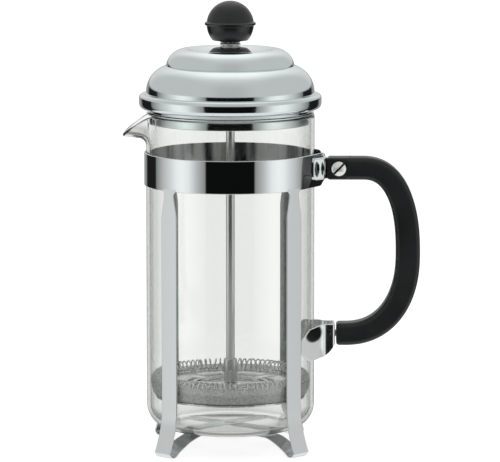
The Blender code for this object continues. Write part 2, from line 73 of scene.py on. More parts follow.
BAND_LOW, BAND_HIGH = node_span("frame_band", 2)
CLAMP_Z = (BAND_LOW + BAND_HIGH) / 2.0
SHEET_R = BEAKER_R + 0.3
BAND_THICK = 0.8
EAR_LOW, EAR_HIGH = node_span("clamp_ear_front", 2)
EAR_Z = (EAR_LOW + EAR_HIGH) / 2.0
EAR_HALF_HEIGHT = (EAR_HIGH - EAR_LOW) / 2.0
EAR_DISHES = ((2.25, 1.6, 4.4), (6.4, 0.95, 3.7))    # middle along the ear, half width, half height
LEG_THICK = 0.9
LEG_WIDTH = 12.0
STRAP_TOP = 11.0
LEG_AZIMUTHS = (math.radians(-134.6), math.radians(-42.6))
LEG_LEVELS = (10.75, 9.55)    # of the two straps where they cross under the beaker
TANGENT_ANGLE = math.radians(30.0)

HANDLE_REACH = node_span("handle", 0)[1] - JUG_X
HANDLE_LOW_Z = 65.5
HANDLE_MID_Z = 111.3
HANDLE_HALF_DEPTH = 6.5
HANDLE_HALF_THICK = 6.45
HANDLE_SWELL = 0.4    # how much thicker each side is in the middle
SCREW_X = 61.6

LID_RIM_R = node_span("lid_dome", 1)[1]
SKIRT_R = 45.2
KNOB_RIDGE_R = node_span("knob", 1)[1]
KNOB_TOP = node_span("knob", 2)[1]
KNOB_R = 13.4
KNOB_Z = KNOB_TOP - KNOB_R
COIL_R = 42.0
COIL_Z = 40.6
COIL_TUBE_R = 3.4

FINE_STEPS = 192
STEPS = 96
SMALL_STEPS = 64
EVEN = (1.0, 1.0, 1.0)
SCREEN_ALPHA = 0.5
CAMERA_DOWN = 7.76    # degrees


# ---------------------------------------------------------------- mesh helpers

def ellipse_arc(center, reach, rise, start, end, steps):
    """Points on an ellipse from one angle to another, in degrees."""
    points = []
    for i in range(steps + 1):
        angle = math.radians(start + (end - start) * i / steps)
        points.append((center[0] + reach * math.cos(angle), center[1] + rise * math.sin(angle)))
    return points


def arc(center, radius, start, end, steps):
    return ellipse_arc(center, radius, radius, start, end, steps)


def rounded(points, radius):
    """A closed outline with its corners rounded off, each by at most half its shorter side."""
    steps = 3
    result = []
    count = len(points)
    for i, point in enumerate(points):
        corner = Vector(point)
        before = Vector(points[i - 1]) - corner
        after = Vector(points[(i + 1) % count]) - corner
        reach = min(radius, before.length * 0.49, after.length * 0.49)
        start = corner + before.normalized() * reach
        end = corner + after.normalized() * reach
        for k in range(steps + 1):
            t = k / steps
            spot = start * (1 - t) ** 2 + corner * 2 * t * (1 - t) + end * t ** 2
            result.append((spot.x, spot.y))
    return result


def finish_mesh(name, bm, material, body=None, replaced=(), sharp=40.0):
    """A shaded object in metres. With a body, it stands at the jug's axis and rides on that CAD body."""
    bmesh.ops.recalc_face_normals(bm, faces=bm.faces)
    bmesh.ops.scale(bm, vec=Vector((MM, MM, MM)), verts=bm.verts)
    mesh = bpy.data.meshes.new(name)
    bm.to_mesh(mesh)
    bm.free()
    mesh.shade_smooth()
    mesh.set_sharp_from_angle(angle=math.radians(sharp))
    mesh.materials.append(material)
    piece = bpy.data.objects.new(name, mesh)
    bpy.context.collection.objects.link(piece)
    if body is None:
        return piece
    piece.location = AXIS
    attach(piece, body)
    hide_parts(*replaced)
    return piece


def join_rings(bm, first, second):
    """Bridge two rings, or a ring and a pole."""
    steps = max(len(first), len(second))
    if steps == 1:
        return
    for i in range(steps):
        j = (i + 1) % steps
        if len(first) == 1:
            bm.faces.new((first[0], second[i], second[j]))
        elif len(second) == 1:
            bm.faces.new((first[i], first[j], second[0]))
        else:
            bm.faces.new((first[i], first[j], second[j], second[i]))


def turned_bmesh(outline, steps, place=None):
    """Turn a closed outline of (radius, height) round Z. A radius of 0 makes a pole."""
    bm = bmesh.new()
    rings = []
    for radius, height in outline:
        if radius == 0.0:
            rings.append([bm.verts.new((0.0, 0.0, height))])
            continue
        ring = []
        for i in range(steps):
            angle = 2.0 * math.pi * i / steps
            spot = (radius * math.cos(angle), radius * math.sin(angle), height)
            if place is not None:
                spot = place(radius, height, angle)
            ring.append(bm.verts.new(spot))
        rings.append(ring)
    for first, second in zip(rings, rings[1:] + rings[:1]):
        join_rings(bm, first, second)
    return bm


def sweep_into(bm, sections):
    """Add a closed solid through a row of sections with equal numbers of points."""
    rings = [[bm.verts.new(point) for point in section] for section in sections]
    for first, second in zip(rings, rings[1:]):
        join_rings(bm, first, second)
    bm.faces.new(rings[0])
    bm.faces.new(rings[-1])


def path_normals(path):
    """The sideways unit vector at each point of a flat path."""
    normals = []
    for i in range(len(path)):
        before = Vector(path[max(i - 1, 0)])
        after = Vector(path[min(i + 1, len(path) - 1)])
        along = (after - before).normalized()
        normals.append(Vector((-along.y, along.x)))
    return normals


def edge_section(half_wide, half_thick):
    """A sheet's cross-section, (across its width, through its thickness), with rounded edges."""
    edge = half_thick * 0.9
    section = []
    for corner, (u_sign, v_sign) in enumerate(((1, 1), (-1, 1), (-1, -1), (1, -1))):
        center = (u_sign * (half_wide - edge), v_sign * (half_thick - edge))
        section += arc(center, edge, 90.0 * corner, 90.0 * corner + 90.0, 3)
    return section


def smooth_path(points, per_span):
    """A smooth open curve through points of any size, by Catmull-Rom spans."""
    tupled = [tuple(p) for p in points]
    result = []
    last = len(tupled) - 1
    for i in range(last):
        p0, p1, p2, p3 = tupled[max(i - 1, 0)], tupled[i], tupled[i + 1], tupled[min(i + 2, last)]
        for k in range(per_span):
            t = k / per_span
            result.append(tuple(
                0.5 * (2 * b + (c - a) * t + (2 * a - 5 * b + 4 * c - d) * t * t
                       + (3 * b - a - 3 * c + d) * t ** 3)
                for a, b, c, d in zip(p0, p1, p2, p3)))
    result.append(tupled[-1])
    return result


def cylinder_bmesh(radius, length, matrix, steps):
    bm = bmesh.new()
    bmesh.ops.create_cone(bm, cap_ends=True, segments=steps, radius1=radius, radius2=radius,
                          depth=length, matrix=matrix)
    return bm


def box_bmesh(low, high):
    bm = bmesh.new()
    size = Vector(high) - Vector(low)
    center = (Vector(high) + Vector(low)) / 2.0
    bmesh.ops.create_cube(bm, size=1.0, matrix=Matrix.Translation(center) @ Matrix.Diagonal((*size, 1.0)))
    return bm


def along_y(x, y, z):
    """A frame whose Z points along -Y."""
    return Matrix.Translation((x, y, z)) @ Matrix.Rotation(math.radians(90.0), 4, "X")


def apply_modifiers(piece):
    """Bake a piece's modifiers into its mesh."""
    depsgraph = bpy.context.evaluated_depsgraph_get()
    mesh = bpy.data.meshes.new_from_object(piece.evaluated_get(depsgraph))
    piece.modifiers.clear()
    old = piece.data
    piece.data = mesh
    bpy.data.meshes.remove(old)


def cut_away(piece, cutters):
    """Take closed bmeshes out of a piece for good."""
    helpers = []
    for bm in cutters:
        helper = finish_mesh("helper", bm, piece.data.materials[0])
        helper.location = piece.location
        modifier = piece.modifiers.new("cut", "BOOLEAN")
        modifier.operation = "DIFFERENCE"
        modifier.solver = "EXACT"
        modifier.object = helper
        helpers.append(helper)
    bpy.context.view_layer.update()
    apply_modifiers(piece)
    for helper in helpers:
        bpy.data.objects.remove(helper, do_unlink=True)


def soften(piece, width, angle):
    """Round the edges of a piece that are sharper than angle."""
    modifier = piece.modifiers.new("edges", "BEVEL")
    modifier.width = width * MM
    modifier.segments = 2
    modifier.limit_method = "ANGLE"
    modifier.angle_limit = math.radians(angle)
    modifier.harden_normals = False
    apply_modifiers(piece)
    piece.data.shade_smooth()
    piece.data.set_sharp_from_angle(angle=math.radians(50.0))


def even_normals(piece):
    """Let the wide faces of a rounded sheet keep their own flat shading."""
    modifier = piece.modifiers.new("normals", "WEIGHTED_NORMAL")
    modifier.mode = "FACE_AREA"
    modifier.keep_sharp = True
    apply_modifiers(piece)


# ---------------------------------------------------------------- materials

def tree_math(tree, operation, *operands):
    """A maths node in a material's or the world's tree. The operands are sockets or numbers."""
    node = tree.nodes.new("ShaderNodeMath")
    node.operation = operation
    for socket, operand in zip(node.inputs, operands):
        if isinstance(operand, float):
            socket.default_value = operand
        else:
            tree.links.new(operand, socket)
    return node.outputs[0]


class Nodes:
    """A short way to write a material's node tree."""

    def __init__(self, name):
        self.material = bpy.data.materials.new(name)
        self.material.use_nodes = True
        self.tree = self.material.node_tree
        self.shader = self.tree.nodes["Principled BSDF"]

    def add(self, kind, **inputs):
        node = self.tree.nodes.new(kind)
        for key, value in inputs.items():
            node.inputs[key.replace("_", " ")].default_value = value
        return node

    def link(self, source, target):
        self.tree.links.new(source, target)

    def set(self, **sockets):
        for key, value in sockets.items():
            self.shader.inputs[key.replace("_", " ")].default_value = value

    def place(self, stretch=EVEN):
        """Object coordinates in metres, stretched."""
        coords = self.add("ShaderNodeTexCoord")
        mapping = self.add("ShaderNodeMapping", Scale=stretch)
        self.link(coords.outputs["Object"], mapping.inputs["Vector"])
        return mapping.outputs["Vector"]

    def axes(self):
        """The X, Y and Z of object coordinates."""
        split = self.add("ShaderNodeSeparateXYZ")
        self.link(self.place(), split.inputs["Vector"])
        return split.outputs["X"], split.outputs["Y"], split.outputs["Z"]

    def math(self, operation, *operands):
        return tree_math(self.tree, operation, *operands)

    def noise(self, scale, detail=4.0, stretch=EVEN):
        node = self.add("ShaderNodeTexNoise", Scale=scale, Detail=detail, Roughness=0.55)
        self.link(self.place(stretch), node.inputs["Vector"])
        return node.outputs["Fac"]

    def spread(self, factor, low, high, start=0.3, end=0.7):
        """Go from low to high while the factor goes from start to end."""
        node = self.add("ShaderNodeMapRange", From_Min=start, From_Max=end, To_Min=low, To_Max=high)
        self.link(factor, node.inputs["Value"])
        return node.outputs["Result"]

    def tint(self, factor, low, high):
        node = self.add("ShaderNodeMix")
        node.data_type = "RGBA"
        node.inputs[6].default_value = (*low, 1.0)
        node.inputs[7].default_value = (*high, 1.0)
        self.link(factor, node.inputs[0])
        return node.outputs[2]

    def bump(self, height, distance, strength=1.0):
        node = self.add("ShaderNodeBump", Distance=distance, Strength=strength)
        self.link(height, node.inputs["Height"])
        return node.outputs["Normal"]

    def wire(self, **sockets):
        for key, source in sockets.items():
            self.link(source, self.shader.inputs[key.replace("_", " ")])
        return self.material


def chrome_material(name, tone, low_rough, high_rough, wave):
    """Mirror plate: almost no blur, with faint polishing haze and a slow unevenness in the sheet."""
    n = Nodes(name)
    n.set(Metallic=1.0)
    color = n.tint(n.noise(90.0), [c * 0.97 for c in tone], tone)
    rough = n.spread(n.noise(420.0, detail=6.0), low_rough, high_rough)
    slow = n.bump(n.noise(28.0, detail=1.0), wave)
    return n.wire(Base_Color=color, Roughness=rough, Normal=slow)


def steel_material(name, tone, rough=(0.16, 0.30), metallic=1.0, stretch=EVEN):
    """Worked metal with fine lines, which stretch can draw out to one direction."""
    n = Nodes(name)
    n.set(Metallic=metallic)
    lines = n.noise(700.0, detail=5.0, stretch=stretch)
    color = n.tint(lines, [c * 0.86 for c in tone], tone)
    return n.wire(Base_Color=color, Roughness=n.spread(lines, *rough), Normal=n.bump(lines, 0.00002))


def streaked_material(name, dark, pale):
    """The band's inner side. Its upright streaks stand for reflections in the photo."""
    n = Nodes(name)
    streaks = n.spread(n.noise(80.0, detail=3.0, stretch=(1.0, 1.0, 0.05)), 0.0, 1.0, 0.42, 0.56)
    return n.wire(Base_Color=n.tint(streaks, dark, pale), Metallic=n.spread(streaks, 1.0, 0.35, 0.0, 1.0),
                  Roughness=n.spread(streaks, 0.22, 0.50, 0.0, 1.0))


def rod_material(name, tone):
    """Drawn steel, mirror-like at the top. The paler lower part stands for a reflection in the photo."""
    n = Nodes(name)
    height = n.axes()[2]
    fade = (0.070, 0.125)
    color = n.tint(n.noise(90.0), [c * 0.97 for c in tone], tone)
    return n.wire(Base_Color=color, Metallic=n.spread(height, 0.42, 1.0, *fade),
                  Roughness=n.spread(height, 0.34, 0.285, *fade))


def wing_material(name, bright, shade):
    """Satin plate. The dark oval on each wing stands for a reflection in the photo."""
    n = Nodes(name)
    x, _, z = n.axes()
    half = 0.0046
    squares = []
    for source, middle in ((x, 0.0476), (z, 0.0675)):
        scaled = n.spread(source, 0.0, 1.0, middle, middle + half)
        scaled.node.clamp = False
        squares.append(n.math("POWER", n.math("ABSOLUTE", scaled), 2.0))
    outside = n.spread(n.math("ADD", *squares), 0.0, 1.0, 0.70, 1.25)
    return n.wire(Base_Color=n.tint(outside, shade, bright), Metallic=n.spread(outside, 1.0, 0.55, 0.0, 1.0),
                  Roughness=n.spread(n.noise(700.0), 0.14, 0.24))


def black_material(name, tone, rough, grain):
    """Black moulding with a fine spark-eroded grain and a faint bloom from handling."""
    n = Nodes(name)
    n.set(Metallic=0.0, IOR=1.52)
    cloud = n.noise(55.0, detail=3.0)
    color = n.tint(cloud, [c * 0.8 for c in tone], [c * 1.25 for c in tone])
    fine = n.bump(n.noise(2600.0, detail=2.0), grain)
    return n.wire(Base_Color=color, Roughness=n.spread(cloud, *rough), Normal=fine)


def glass_material():
    """Clear borosilicate: it bends light, lets lamps through, and has a slight draw in its walls."""
    n = Nodes("clear_glass")
    n.set(Base_Color=(0.953, 0.965, 0.951, 1.0), Roughness=0.0, IOR=1.47, Transmission_Weight=1.0)
    draw = n.bump(n.noise(16.0, detail=1.0, stretch=(1.0, 1.0, 0.35)), 0.00025, strength=0.5)
    n.link(draw, n.shader.inputs["Normal"])
    path = n.add("ShaderNodeLightPath")
    clear = n.add("ShaderNodeBsdfTransparent", Color=(0.93, 0.94, 0.935, 1.0))
    mix = n.add("ShaderNodeMixShader")
    n.link(path.outputs["Is Shadow Ray"], mix.inputs["Fac"])
    n.link(n.shader.outputs["BSDF"], mix.inputs[1])
    n.link(clear.outputs["BSDF"], mix.inputs[2])
    n.link(mix.outputs["Shader"], n.tree.nodes["Material Output"].inputs["Surface"])
    return n.material


def weave_material():
    """Fine woven steel wire, seen as crossed ridges with dark pores between them."""
    n = Nodes("woven_wire")
    n.set(Metallic=0.35, Alpha=SCREEN_ALPHA)
    x, y, z = n.axes()
    upright = n.math("SINE", n.math("MULTIPLY", n.math("ARCTAN2", y, x), 260.0))
    level = n.math("SINE", n.math("MULTIPLY", z, 7000.0))
    weave = n.math("MULTIPLY", upright, level)
    spots = n.spread(n.noise(900.0, detail=3.0), 0.1, 0.9, 0.35, 0.65)
    color = n.tint(n.math("MULTIPLY_ADD", weave, 0.35, spots), (0.46, 0.46, 0.455), (1.0, 1.0, 0.99))
    grime = n.noise(300.0, detail=5.0)
    return n.wire(Base_Color=color, Roughness=n.spread(grime, 0.36, 0.55), Normal=n.bump(weave, 0.00008))


CHROME = chrome_material("mirror_chrome", (0.89, 0.95, 0.94), 0.015, 0.05, 0.00002)
LEG_CHROME = chrome_material("leg_chrome", (0.93, 0.98, 0.975), 0.14, 0.22, 0.00004)
LID_CHROME = chrome_material("lid_chrome", (0.86, 0.935, 0.925), 0.05, 0.11, 0.00003)
# painted shade: a darker copy of the legs' chrome for the faces that look inward or up under the beaker
LEG_PAINTED_SHADE = chrome_material("leg_inner_painted_shade", (0.46, 0.49, 0.49), 0.12, 0.20, 0.00003)
BAND_INSIDE = streaked_material("band_inside", (0.15, 0.165, 0.17), (0.98, 1.0, 1.0))
DRAWN = rod_material("drawn_steel", (1.0, 1.0, 0.98))
WING = wing_material("satin_bracket", (0.90, 0.94, 0.93), (0.05, 0.054, 0.054))
TURNED = steel_material("turned_steel", (0.80, 0.80, 0.79), stretch=(1.0, 1.0, 6.0))
SCREW = steel_material("satin_screw_steel", (0.97, 0.97, 0.94), (0.24, 0.34), 0.7)
# painted shade: near-black, rough steel for the screw slots
SLOT_PAINTED_SHADE = steel_material("slot_painted_shade", (0.06, 0.06, 0.055), (0.45, 0.6))
DISH_SHADE_AND_REFLECTION = chrome_material("dish_shade", (0.10, 0.11, 0.11), 0.10, 0.2, 0.0)    # painted shade and painted reflection for the floors of the ears' dishes
PLATE = steel_material("pressed_steel", (0.90, 0.90, 0.885), metallic=0.6)
WIRE = steel_material("spring_wire", (0.98, 0.98, 0.97), (0.22, 0.36), 0.5)
BRASS = steel_material("machined_brass", (0.75, 0.57, 0.29), stretch=(1.0, 1.0, 4.0))
HANDLE_BLACK = black_material("soft_touch_black", (0.0062, 0.0070, 0.0075), (0.30, 0.40), 0.00004)
KNOB_BLACK = black_material("knob_black", (0.0075, 0.0082, 0.0088), (0.24, 0.32), 0.00003)
RUBBER = black_material("seal_black", (0.016, 0.016, 0.017), (0.42, 0.52), 0.00004)
GLASS = glass_material()
WEAVE = weave_material()
# painted light: a paler, less metallic copy of the screen's steel for its inner faces, half see-through like
# the weave
WEAVE_PAINTED_LIGHT = steel_material("weave_inner_painted_light", (0.92, 0.92, 0.90), (0.4, 0.55), 0.25)
WEAVE_PAINTED_LIGHT.node_tree.nodes["Principled BSDF"].inputs["Alpha"].default_value = SCREEN_ALPHA


# ---------------------------------------------------------------- beaker

def spout_curve(run, fold):
    """A wall point after the lip is bent out: run along the wall from SPOUT_START, fold in radians."""
    share = fold / SPOUT_FOLD
    drawn_in = 1.0 - 0.19 * share ** 2 - 0.24 * math.sin(math.pi * share)
    if fold < 1e-4:
        return 0.0, SPOUT_START + run
    radius = SPOUT_BEND / fold
    if run <= SPOUT_BEND:
        turn = run / radius
        return radius * (1.0 - math.cos(turn)), SPOUT_START + radius * math.sin(turn)
    rest = (run - SPOUT_BEND) * drawn_in
    out = radius * (1.0 - math.cos(fold)) + rest * math.sin(fold)
    return out, SPOUT_START + radius * math.sin(fold) + rest * math.cos(fold)


def place_beaker_point(radius, height, angle):
    """A turned beaker point, bent out near the pouring lip."""
    offset = abs(math.remainder(angle - math.pi, 2.0 * math.pi)) / SPOUT_HALF_ANGLE
    if height <= SPOUT_START or offset >= 1.0:
        return radius * math.cos(angle), radius * math.sin(angle), height
    fold = SPOUT_FOLD * (0.5 + 0.5 * math.cos(math.pi * offset)) ** 0.75
    run = height - SPOUT_START
    middle_out, middle_z = spout_curve(run, fold)
    turn = min(run / SPOUT_BEND, 1.0) * fold
    depth = BEAKER_R - radius
    out_radius = BEAKER_R + middle_out - depth * math.cos(turn)
    return out_radius * math.cos(angle), out_radius * math.sin(angle), middle_z + depth * math.sin(turn)


def build_beaker():
    inner_r = BEAKER_R - BEAKER_WALL
    foot_r = BEAKER_R - BEAKER_CORNER_R
    corner_z = BEAKER_LOW + BEAKER_CORNER_R
    lip_steps = 18
    rim = 1.0
    lip = [SPOUT_START + (BEAKER_TOP - rim - SPOUT_START) * i / lip_steps for i in range(lip_steps + 1)]
    outline = [(0.0, BEAKER_LOW + 0.9), (16.0, BEAKER_LOW + 0.75), (26.0, BEAKER_LOW + 0.25)]
    outline += arc((foot_r, corner_z), BEAKER_CORNER_R, -90.0, 0.0, 16)
    outline += [(BEAKER_R, height) for height in (60.0, 110.0, 150.0)]
    outline += [(BEAKER_R, height) for height in lip]
    outline += arc((BEAKER_R - rim, BEAKER_TOP - rim), rim, 15.0, 90.0, 4)
    outline += arc((inner_r + rim, BEAKER_TOP - rim), rim, 100.0, 165.0, 4)
    outline += [(inner_r, height) for height in reversed(lip)]
    outline += [(inner_r, height) for height in (150.0, 110.0, 60.0)]
    outline += arc((foot_r, corner_z), BEAKER_CORNER_R - BEAKER_WALL - 0.3, 0.0, -90.0, 14)
    outline += [(22.0, BEAKER_LOW + BEAKER_WALL + 0.5), (0.0, BEAKER_LOW + BEAKER_WALL + 1.2)]
    bm = turned_bmesh(outline, FINE_STEPS, place_beaker_point)
    finish_mesh("beaker_glass", bm, GLASS, "carafe", ["glass_beaker"], sharp=60.0)


# ---------------------------------------------------------------- clamp frame

def tangent_point(angle, reach, radius):
    """A point on the flat stretch that leaves the sheet's circle at an angle from +X."""
    x = radius * math.cos(angle) + reach * math.sin(abs(angle))
    y = radius * math.sin(angle) + reach * math.cos(angle) * math.copysign(1.0, -angle)
    return x, y


def standing_sections(path, halves, middles, thick):
    """Sections of an upright sheet along its plan, with half its height and its middle at each point."""
    sections = []
    for point, normal, half, middle in zip(path, path_normals(path), halves, middles):
        section = []
        for up, through in edge_section(half, thick / 2.0):
            spot = Vector(point) + normal * through
            section.append((spot.x, spot.y, middle + up))
        sections.append(section)
    return sections


def band_path():
    """Plan of the clamp band, with its half height at each point."""
    radius = SHEET_R + BAND_THICK / 2.0
    full = (BAND_HIGH - BAND_LOW) / 2.0
    tongue = 6.15
    half = [(68.0, -1.3, tongue), (60.0, -1.3, tongue), (54.8, -1.3, tongue), (53.9, -1.7, tongue),
            (53.5, -2.6, tongue), (53.2, -4.0, tongue + 0.4)]
    for reach, tall in ((20.0, 7.6), (19.0, 8.7), (17.6, full), (9.0, full)):
        half.append((*tangent_point(-TANGENT_ANGLE, reach, radius), tall))
    around = []
    steps = 150
    for i in range(steps + 1):
        angle = -TANGENT_ANGLE - (2.0 * math.pi - 2.0 * TANGENT_ANGLE) * i / steps
        around.append((radius * math.cos(angle), radius * math.sin(angle), full))
    return half + around + [(x, -y, tall) for x, y, tall in reversed(half)]


def leg_path(level):
    """One leg from inside the band to the jug's axis: (distance, height, width)."""
    middle = SHEET_R + LEG_THICK / 2.0
    foot_z = LEG_THICK / 2.0
    neck = [(152.4, 10.2), (151.3, 10.0), (150.8, 8.7), (150.2, 7.9), (149.3, 7.6), (148.0, 7.8),
            (146.0, 8.2), (142.0, 9.6), (138.0, 11.2), (136.3, 11.75), (134.5, LEG_WIDTH)]
    path = [(middle, height, width) for height, width in neck]
    path += [(middle, 90.0, LEG_WIDTH), (middle, 50.0, LEG_WIDTH)]
    bend = 3.5
    lean = 16.0
    flare = 5.7
    flare_top = 27.0
    low = foot_z + bend * (1.0 - math.sin(math.radians(lean)))
    for i in range(17):
        drop = i / 16.0
        path.append((middle + flare * drop ** 1.8, flare_top - (flare_top - low) * drop, LEG_WIDTH))
    bend_r = middle + flare + 0.05 - bend * math.cos(math.radians(lean))
    path += [(r, z, LEG_WIDTH) for r, z in arc((bend_r, foot_z + bend), bend, -lean, -90.0, 9)]
    tail = smooth_path([(bend_r - 0.4, foot_z), (bend_r - 1.5, 0.9), (46.0, 3.5), (39.0, 7.3), (33.5, 9.3),
                        (28.0, level)], 5)
    path += [(r, z, LEG_WIDTH) for r, z in tail]
    path += [(12.0, level, LEG_WIDTH)]
    return path


def add_leg_strip(bm, azimuth, level):
    """Two opposite legs and the tie between them."""
    half = leg_path(level)
    path = half + [(-r, z, width) for r, z, width in reversed(half)]
    flat = [(r, z) for r, z, width in path]
    turn = Matrix.Rotation(azimuth, 3, "Z")
    sections = []
    for (r, z, width), normal in zip(path, path_normals(flat)):
        section = []
        for across, through in edge_section(width / 2.0, LEG_THICK / 2.0):
            section.append(turn @ Vector((r + normal.x * through, across, z + normal.y * through)))
        sections.append(section)
    sweep_into(bm, sections)


def dish_depth(along, up):
    """How far inside one of the ear's two long dishes a spot lies: 1 in the middle, 0 outside."""
    deepest = 0.0
    for center, half_wide, half_tall in EAR_DISHES:
        reach = 1.0 - ((along - center) / half_wide) ** 2 - (up / half_tall) ** 2
        deepest = max(deepest, reach)
    return deepest


def ear_height(along, up, length):
    """How far the pressed ear stands proud of its plan line: a rolled edge and two long dishes."""
    edge = min(along + 0.6, EAR_HALF_HEIGHT - abs(up), length - along + 1.0)
    rolled = 0.6 * max(0.0, 1.0 - edge / 0.7) ** 2
    return 0.5 - rolled - 1.1 * dish_depth(along, up) ** 0.7


def build_ear(name, node, side):
    """The folded ear beside the clamp: a dished plate turned to the front, then across to the tongue."""
    plan = [(47.2, -16.9), (49.3, -15.1), (51.4, -13.3), (52.6, -12.2), (53.3, -11.2), (53.55, -10.0),
            (53.55, -8.0), (53.55, -4.9)]
    path = smooth_path(plan, 6)
    lengths = [0.0]
    for before, after in zip(path, path[1:]):
        lengths.append(lengths[-1] + (Vector(after) - Vector(before)).length)
    rows = 36
    corner_r = 2.2
    bm = bmesh.new()
    fronts = []
    backs = []
    for point, normal, along in zip(path, path_normals(path), lengths):
        corner = max(0.0, corner_r - along)
        half = EAR_HALF_HEIGHT - corner_r + math.sqrt(corner_r ** 2 - corner ** 2)
        front = []
        back = []
        for k in range(rows + 1):
            up = half * (2.0 * k / rows - 1.0)
            for store, shift in ((front, ear_height(along, up, lengths[-1])), (back, -0.6)):
                spot = Vector(point) - normal * shift
                store.append(bm.verts.new((spot.x, -side * spot.y, EAR_Z + up)))
        fronts.append(front)
        backs.append(back)
    for grid in (fronts, backs):
        for i in range(len(path) - 1):
            for k in range(rows):
                face = bm.faces.new((grid[i][k], grid[i][k + 1], grid[i + 1][k + 1], grid[i + 1][k]))
                along = (lengths[i] + lengths[i + 1]) / 2.0
                up = face.calc_center_median().z - EAR_Z
                # painted shade and painted reflection: the deep middle of each dish takes the dark chrome
                face.material_index = 1 if dish_depth(along, up) > 0.12 else 0
    for k in (0, rows):
        for i in range(len(path) - 1):
            bm.faces.new((fronts[i][k], fronts[i + 1][k], backs[i + 1][k], backs[i][k]))
    for i in (0, -1):
        for k in range(rows):
            bm.faces.new((fronts[i][k], fronts[i][k + 1], backs[i][k + 1], backs[i][k]))
    ear = finish_mesh(name, bm, CHROME, "carafe", [node], sharp=60.0)
    ear.data.materials.append(DISH_SHADE_AND_REFLECTION)


def paint_inside(piece, material):
    """Give the faces that look at the jug's axis, or up at the beaker from below, a second material: painted
    shade on the legs, painted reflections on the band, painted light on the screen.
    """
    piece.data.materials.append(material)
    for face in piece.data.polygons:
        outwards = Vector((face.center.x, face.center.y, 0.0)).normalized()
        under_beaker = face.center.z < STRAP_TOP * MM and face.normal.z > 0.5
        if face.normal.dot(outwards) < -0.7 or under_beaker:
            face.material_index = 1


def build_clamp_frame():
    path = band_path()
    bm = bmesh.new()
    sweep_into(bm, standing_sections([(x, y) for x, y, tall in path], [tall for x, y, tall in path],
                                     [CLAMP_Z] * len(path), BAND_THICK))
    band = finish_mesh("clamp_band_chrome", bm, CHROME, "carafe", ["frame_band"])
    even_normals(band)
    paint_inside(band, BAND_INSIDE)
    build_ear("front_ear_chrome", "clamp_ear_front", -1.0)
    build_ear("back_ear_chrome", "clamp_ear_back", 1.0)
    for name, node, azimuth, level in zip(("legs_one_chrome", "legs_two_chrome"),
                                          ("leg_strip_a", "leg_strip_b"), LEG_AZIMUTHS, LEG_LEVELS):
        strip = bmesh.new()
        add_leg_strip(strip, azimuth, level)
        legs = finish_mesh(name, strip, LEG_CHROME, "carafe", [node])
        even_normals(legs)
        # painted shade on the legs' inward faces and on the faces under the beaker
        paint_inside(legs, LEG_PAINTED_SHADE)


# ---------------------------------------------------------------- handle

def handle_path():
    """The middle line of the handle, from the clamp end round to the saddle end."""
    top_center = 75.0
    low_center = 65.3
    middle_x = HANDLE_REACH - HANDLE_HALF_THICK - HANDLE_SWELL
    steps = 48
    path = [(55.0, CLAMP_Z), (60.0, CLAMP_Z), (67.0, CLAMP_Z)]
    for i in range(steps + 1):
        turn = math.radians(90.0 - 90.0 * i / steps)
        path.append((top_center + (middle_x - top_center) * math.cos(turn) ** (2.0 / 2.4),
                     HANDLE_MID_Z + (CLAMP_Z - HANDLE_MID_Z) * math.sin(turn) ** (2.0 / 2.4)))
    for i in range(1, steps + 1):
        turn = math.radians(90.0 * i / steps)
        path.append((low_center + (middle_x - low_center) * math.cos(turn) ** (2.0 / 2.25),
                     HANDLE_MID_Z - (HANDLE_MID_Z - HANDLE_LOW_Z) * math.sin(turn) ** (2.0 / 2.25)))
    path += [(62.6, HANDLE_LOW_Z), (60.5, HANDLE_LOW_Z)]
    return path


def handle_section(point, normal, half_thick, inset):
    """A rounded rectangle across the handle, drawn in by inset at the ends."""
    corner = 2.7
    section = []
    for quarter, (a_sign, d_sign) in enumerate(((1, 1), (-1, 1), (-1, -1), (1, -1))):
        center = (a_sign * (half_thick - inset - corner), d_sign * (HANDLE_HALF_DEPTH - inset - corner))
        for a, b in arc(center, corner, 90.0 * quarter, 90.0 * quarter + 90.0, 7):
            section.append((point[0] + normal.x * a, b, point[1] + normal.y * a))
    return section


def build_handle():
    path = handle_path()
    # even spacing where the formula leaves points almost on top of each other
    kept = [path[0]]
    for point in path[1:]:
        if (Vector(point) - Vector(kept[-1])).length > 0.6:
            kept.append(point)
    normals = path_normals(kept)
    last = len(kept) - 1
    sections = []
    for i, (point, normal) in enumerate(zip(kept, normals)):
        half = HANDLE_HALF_THICK + HANDLE_SWELL * math.sin(math.pi * i / last) ** 2
        sections.append(handle_section(point, normal, half, 0.0))
    start = [handle_section((kept[0][0] + shift, kept[0][1]), normals[0], HANDLE_HALF_THICK, inset)
             for shift, inset in ((0.0, 1.3), (0.35, 0.55), (1.0, 0.12), (1.8, 0.0))]
    end = [handle_section((kept[last][0] + shift, kept[last][1]), normals[last], HANDLE_HALF_THICK, inset)
           for shift, inset in ((1.8, 0.0), (1.0, 0.1), (0.35, 0.45), (0.0, 1.0))]
    bm = bmesh.new()
    sweep_into(bm, start + sections[1:-1] + end)
    handle = finish_mesh("handle_moulding", bm, HANDLE_BLACK, "carafe", ["handle"])
    slot_half = 2.0
    front = -HANDLE_HALF_DEPTH
    recess = box_bmesh((50.0, front - 1.0, CLAMP_Z - 5.4), (66.4, front + 1.2, CLAMP_Z + 5.4))
    upright = [edge for edge in recess.edges
               if abs(edge.verts[0].co.y - edge.verts[1].co.y) > 0.5 and edge.verts[0].co.x > 60.0]
    bmesh.ops.bevel(recess, geom=upright, offset=1.6, segments=5, affect="EDGES", profile=0.5)
    cut_away(handle, [
        box_bmesh((50.0, -slot_half, CLAMP_Z - 12.0), (68.6, slot_half, CLAMP_Z + 12.0)),
        recess,
        cylinder_bmesh(4.5, 6.0, along_y(SCREW_X, HANDLE_HALF_DEPTH, CLAMP_Z), 6),
        cylinder_bmesh(2.25, 30.0, along_y(SCREW_X, 0.0, CLAMP_Z), 32)])
    soften(handle, 0.25, 45.0)


